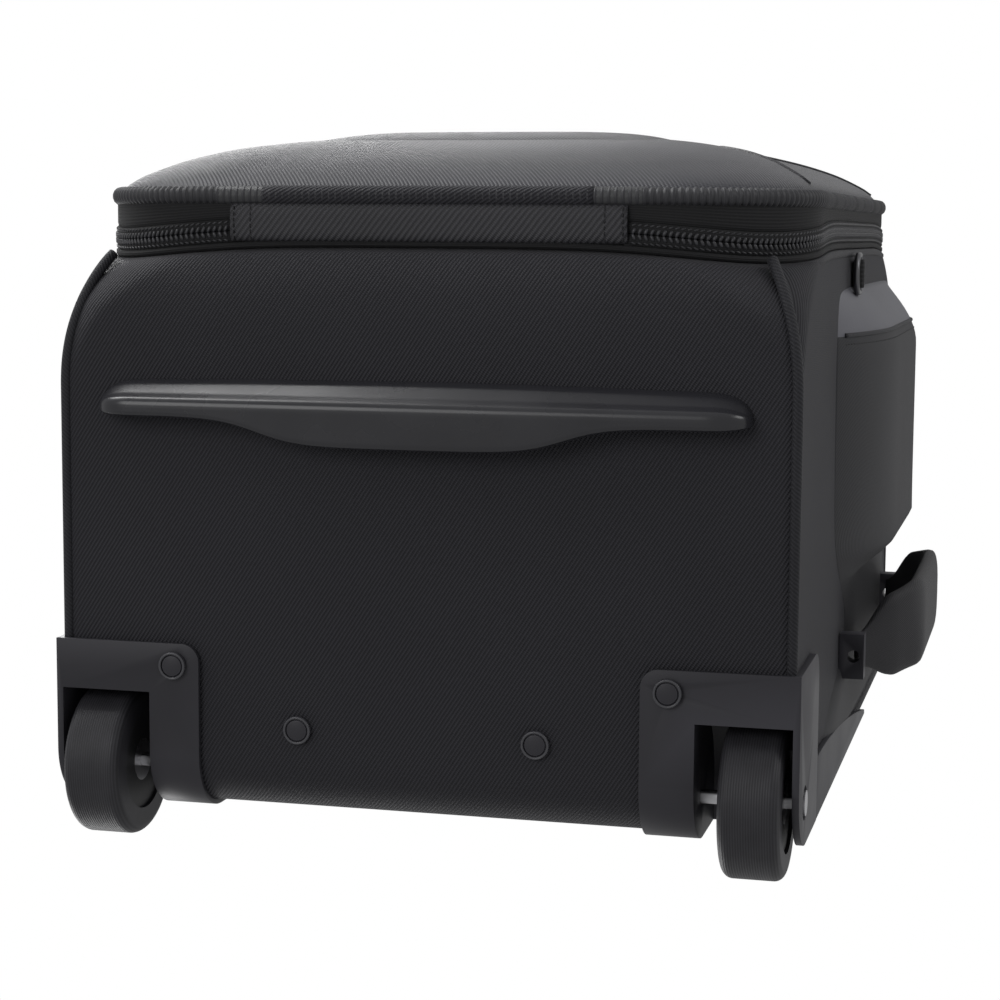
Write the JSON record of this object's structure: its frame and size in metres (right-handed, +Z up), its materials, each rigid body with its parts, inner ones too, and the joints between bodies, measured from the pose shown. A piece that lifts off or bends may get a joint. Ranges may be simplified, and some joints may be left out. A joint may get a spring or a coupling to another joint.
{
  "type": "pilot rolling flight case",
  "caption": "Upright soft-sided rolling flight case with a domed clamshell lid, recessed wheels, a long foot bar, side pockets and a telescopic pull handle.",
  "frame": {"origin": "centre of the foot bar's flat face, on the floor, halfway across the case", "axes": "+Z up with the case standing, -Y towards the lid, +X towards the side with the carry handle"},
  "size_m": [0.387, 0.3329, 0.4862],
  "materials": {
    "twill": "diagonal polyester twill",
    "zip_tape": "ribbed tape",
    "coil": "nylon coil",
    "pocket_fabric": "fine weave",
    "moulded": "fine moulded grain",
    "guard": "smooth satin",
    "hub_plastic": "satin",
    "tread": "turned rubber",
    "lining": "plain weave lining",
    "webbing": "woven webbing",
    "padding": "knit over foam",
    "steel": "turned",
    "tube_metal": "anodised",
    "zip_metal": "black nickel",
    "button": "satin"
  },
  "bodies": {
    "case": {"bottom_panel": "twill", "top_panel": "twill", "back_panel": "twill", "left_side_panel": "twill", "right_side_panel": "twill", "front_shoulder": "twill", "body_zip_tape": "zip_tape", "body_zip_coil": "coil", "body_hinge_flap": "zip_tape", "frame_wire": "steel", "left_side_pocket": "pocket_fabric", "right_side_pocket": "pocket_fabric", "left_wheel_housing": "moulded", "right_wheel_housing": "moulded", "left_corner_guard": "guard", "right_corner_guard": "guard", "axle_bolts": "steel", "axle_nuts": "steel", "foot_bar": "moulded", "housing_rivets": "moulded", "base_rivets": "moulded", "trolley_base": "moulded", "left_outer_tube": "tube_metal", "right_outer_tube": "tube_metal", "trolley_bezel": "moulded", "trolley_lining": "lining", "side_handle_anchors": "moulded", "top_handle_anchors": "moulded", "side_ring_tab": "webbing"},
    "lid": {"lid_panel": "twill", "lid_rim": "zip_tape", "lid_binding": "zip_tape", "lid_zip_coil": "coil", "lid_hinge_flap": "zip_tape", "lid_pocket": "twill", "lid_pocket_zip": "coil"},
    "left_wheel": {"left_tyre": "tread", "left_hub": "hub_plastic", "left_bearings": "steel"},
    "right_wheel": {"right_tyre": "tread", "right_hub": "hub_plastic", "right_bearings": "steel"},
    "trolley_middle": {"left_mid_tube": "tube_metal", "right_mid_tube": "tube_metal"},
    "trolley_grip": {"left_inner_tube": "tube_metal", "right_inner_tube": "tube_metal", "grip": "moulded"},
    "button": {"release_button": "button"},
    "side_handle": {"side_handle_strap": "webbing", "side_handle_pad": "padding"},
    "top_handle": {"top_handle_strap": "webbing", "top_handle_pad": "padding"},
    "left_slider": {"left_zip_slider": "zip_metal"},
    "left_pull": {"left_zip_pull": "zip_metal"},
    "right_slider": {"right_zip_slider": "zip_metal"},
    "right_pull": {"right_zip_pull": "zip_metal"},
    "pocket_slider": {"pocket_zip_slider": "zip_metal"},
    "ring": {"side_ring": "zip_metal"}
  },
  "joints": [
    {"name": "lid_hinge", "type": "hinge", "parent": "case", "child": "lid", "pos_m": [0, -0.084, 0.0252], "axis": [1, 0, 0], "range_deg": [0, 100]},
    {"name": "left_wheel_spin", "type": "hinge", "parent": "case", "child": "left_wheel", "pos_m": [-0.1456, 0.1554, 0.0336], "axis": [1, 0, 0], "continuous": true},
    {"name": "right_wheel_spin", "type": "hinge", "parent": "case", "child": "right_wheel", "pos_m": [0.1456, 0.1554, 0.0336], "axis": [1, 0, 0], "continuous": true},
    {"name": "trolley_lower_slide", "type": "slide", "parent": "case", "child": "trolley_middle", "axis": [0, 0, 1], "range_m": [0, 0.27]},
    {"name": "trolley_upper_slide", "type": "slide", "parent": "trolley_middle", "child": "trolley_grip", "axis": [0, 0, 1], "range_m": [0, 0.27]},
    {"name": "button_press", "type": "slide", "parent": "trolley_grip", "child": "button", "axis": [0, 0, -1], "range_m": [0, 0.003], "stiffness_N_per_m": 300, "springref_m": -0.001},
    {"name": "side_handle_swing", "type": "hinge", "parent": "case", "child": "side_handle", "pos_m": [0.17, 0.121, 0.3], "axis": [0, 0, 1], "range_deg": [-25, 25]},
    {"name": "top_handle_lift", "type": "slide", "parent": "case", "child": "top_handle", "axis": [0, 0, 1], "range_m": [0, 0.01]},
    {"name": "left_slider_run", "type": "slide", "parent": "case", "child": "left_slider", "axis": [-1, 0, 0], "range_m": [0, 0.082]},
    {"name": "right_slider_run", "type": "slide", "parent": "case", "child": "right_slider", "axis": [1, 0, 0], "range_m": [0, 0.082]},
    {"name": "left_pull_flip", "type": "hinge", "parent": "left_slider", "child": "left_pull", "pos_m": [-0.014, -0.084, 0.4575], "axis": [0, 1, 0], "range_deg": [0, 170]},
    {"name": "right_pull_flip", "type": "hinge", "parent": "right_slider", "child": "right_pull", "pos_m": [0.014, -0.084, 0.4575], "axis": [0, -1, 0], "range_deg": [0, 170]},
    {"name": "pocket_slider_run", "type": "slide", "parent": "lid", "child": "pocket_slider", "axis": [1, 0, 0], "range_m": [0, 0.125]},
    {"name": "ring_swing", "type": "hinge", "parent": "case", "child": "ring", "pos_m": [0.1662, -0.064, 0.2142], "axis": [0, -1, 0], "range_deg": [0, 150]}
  ]
}
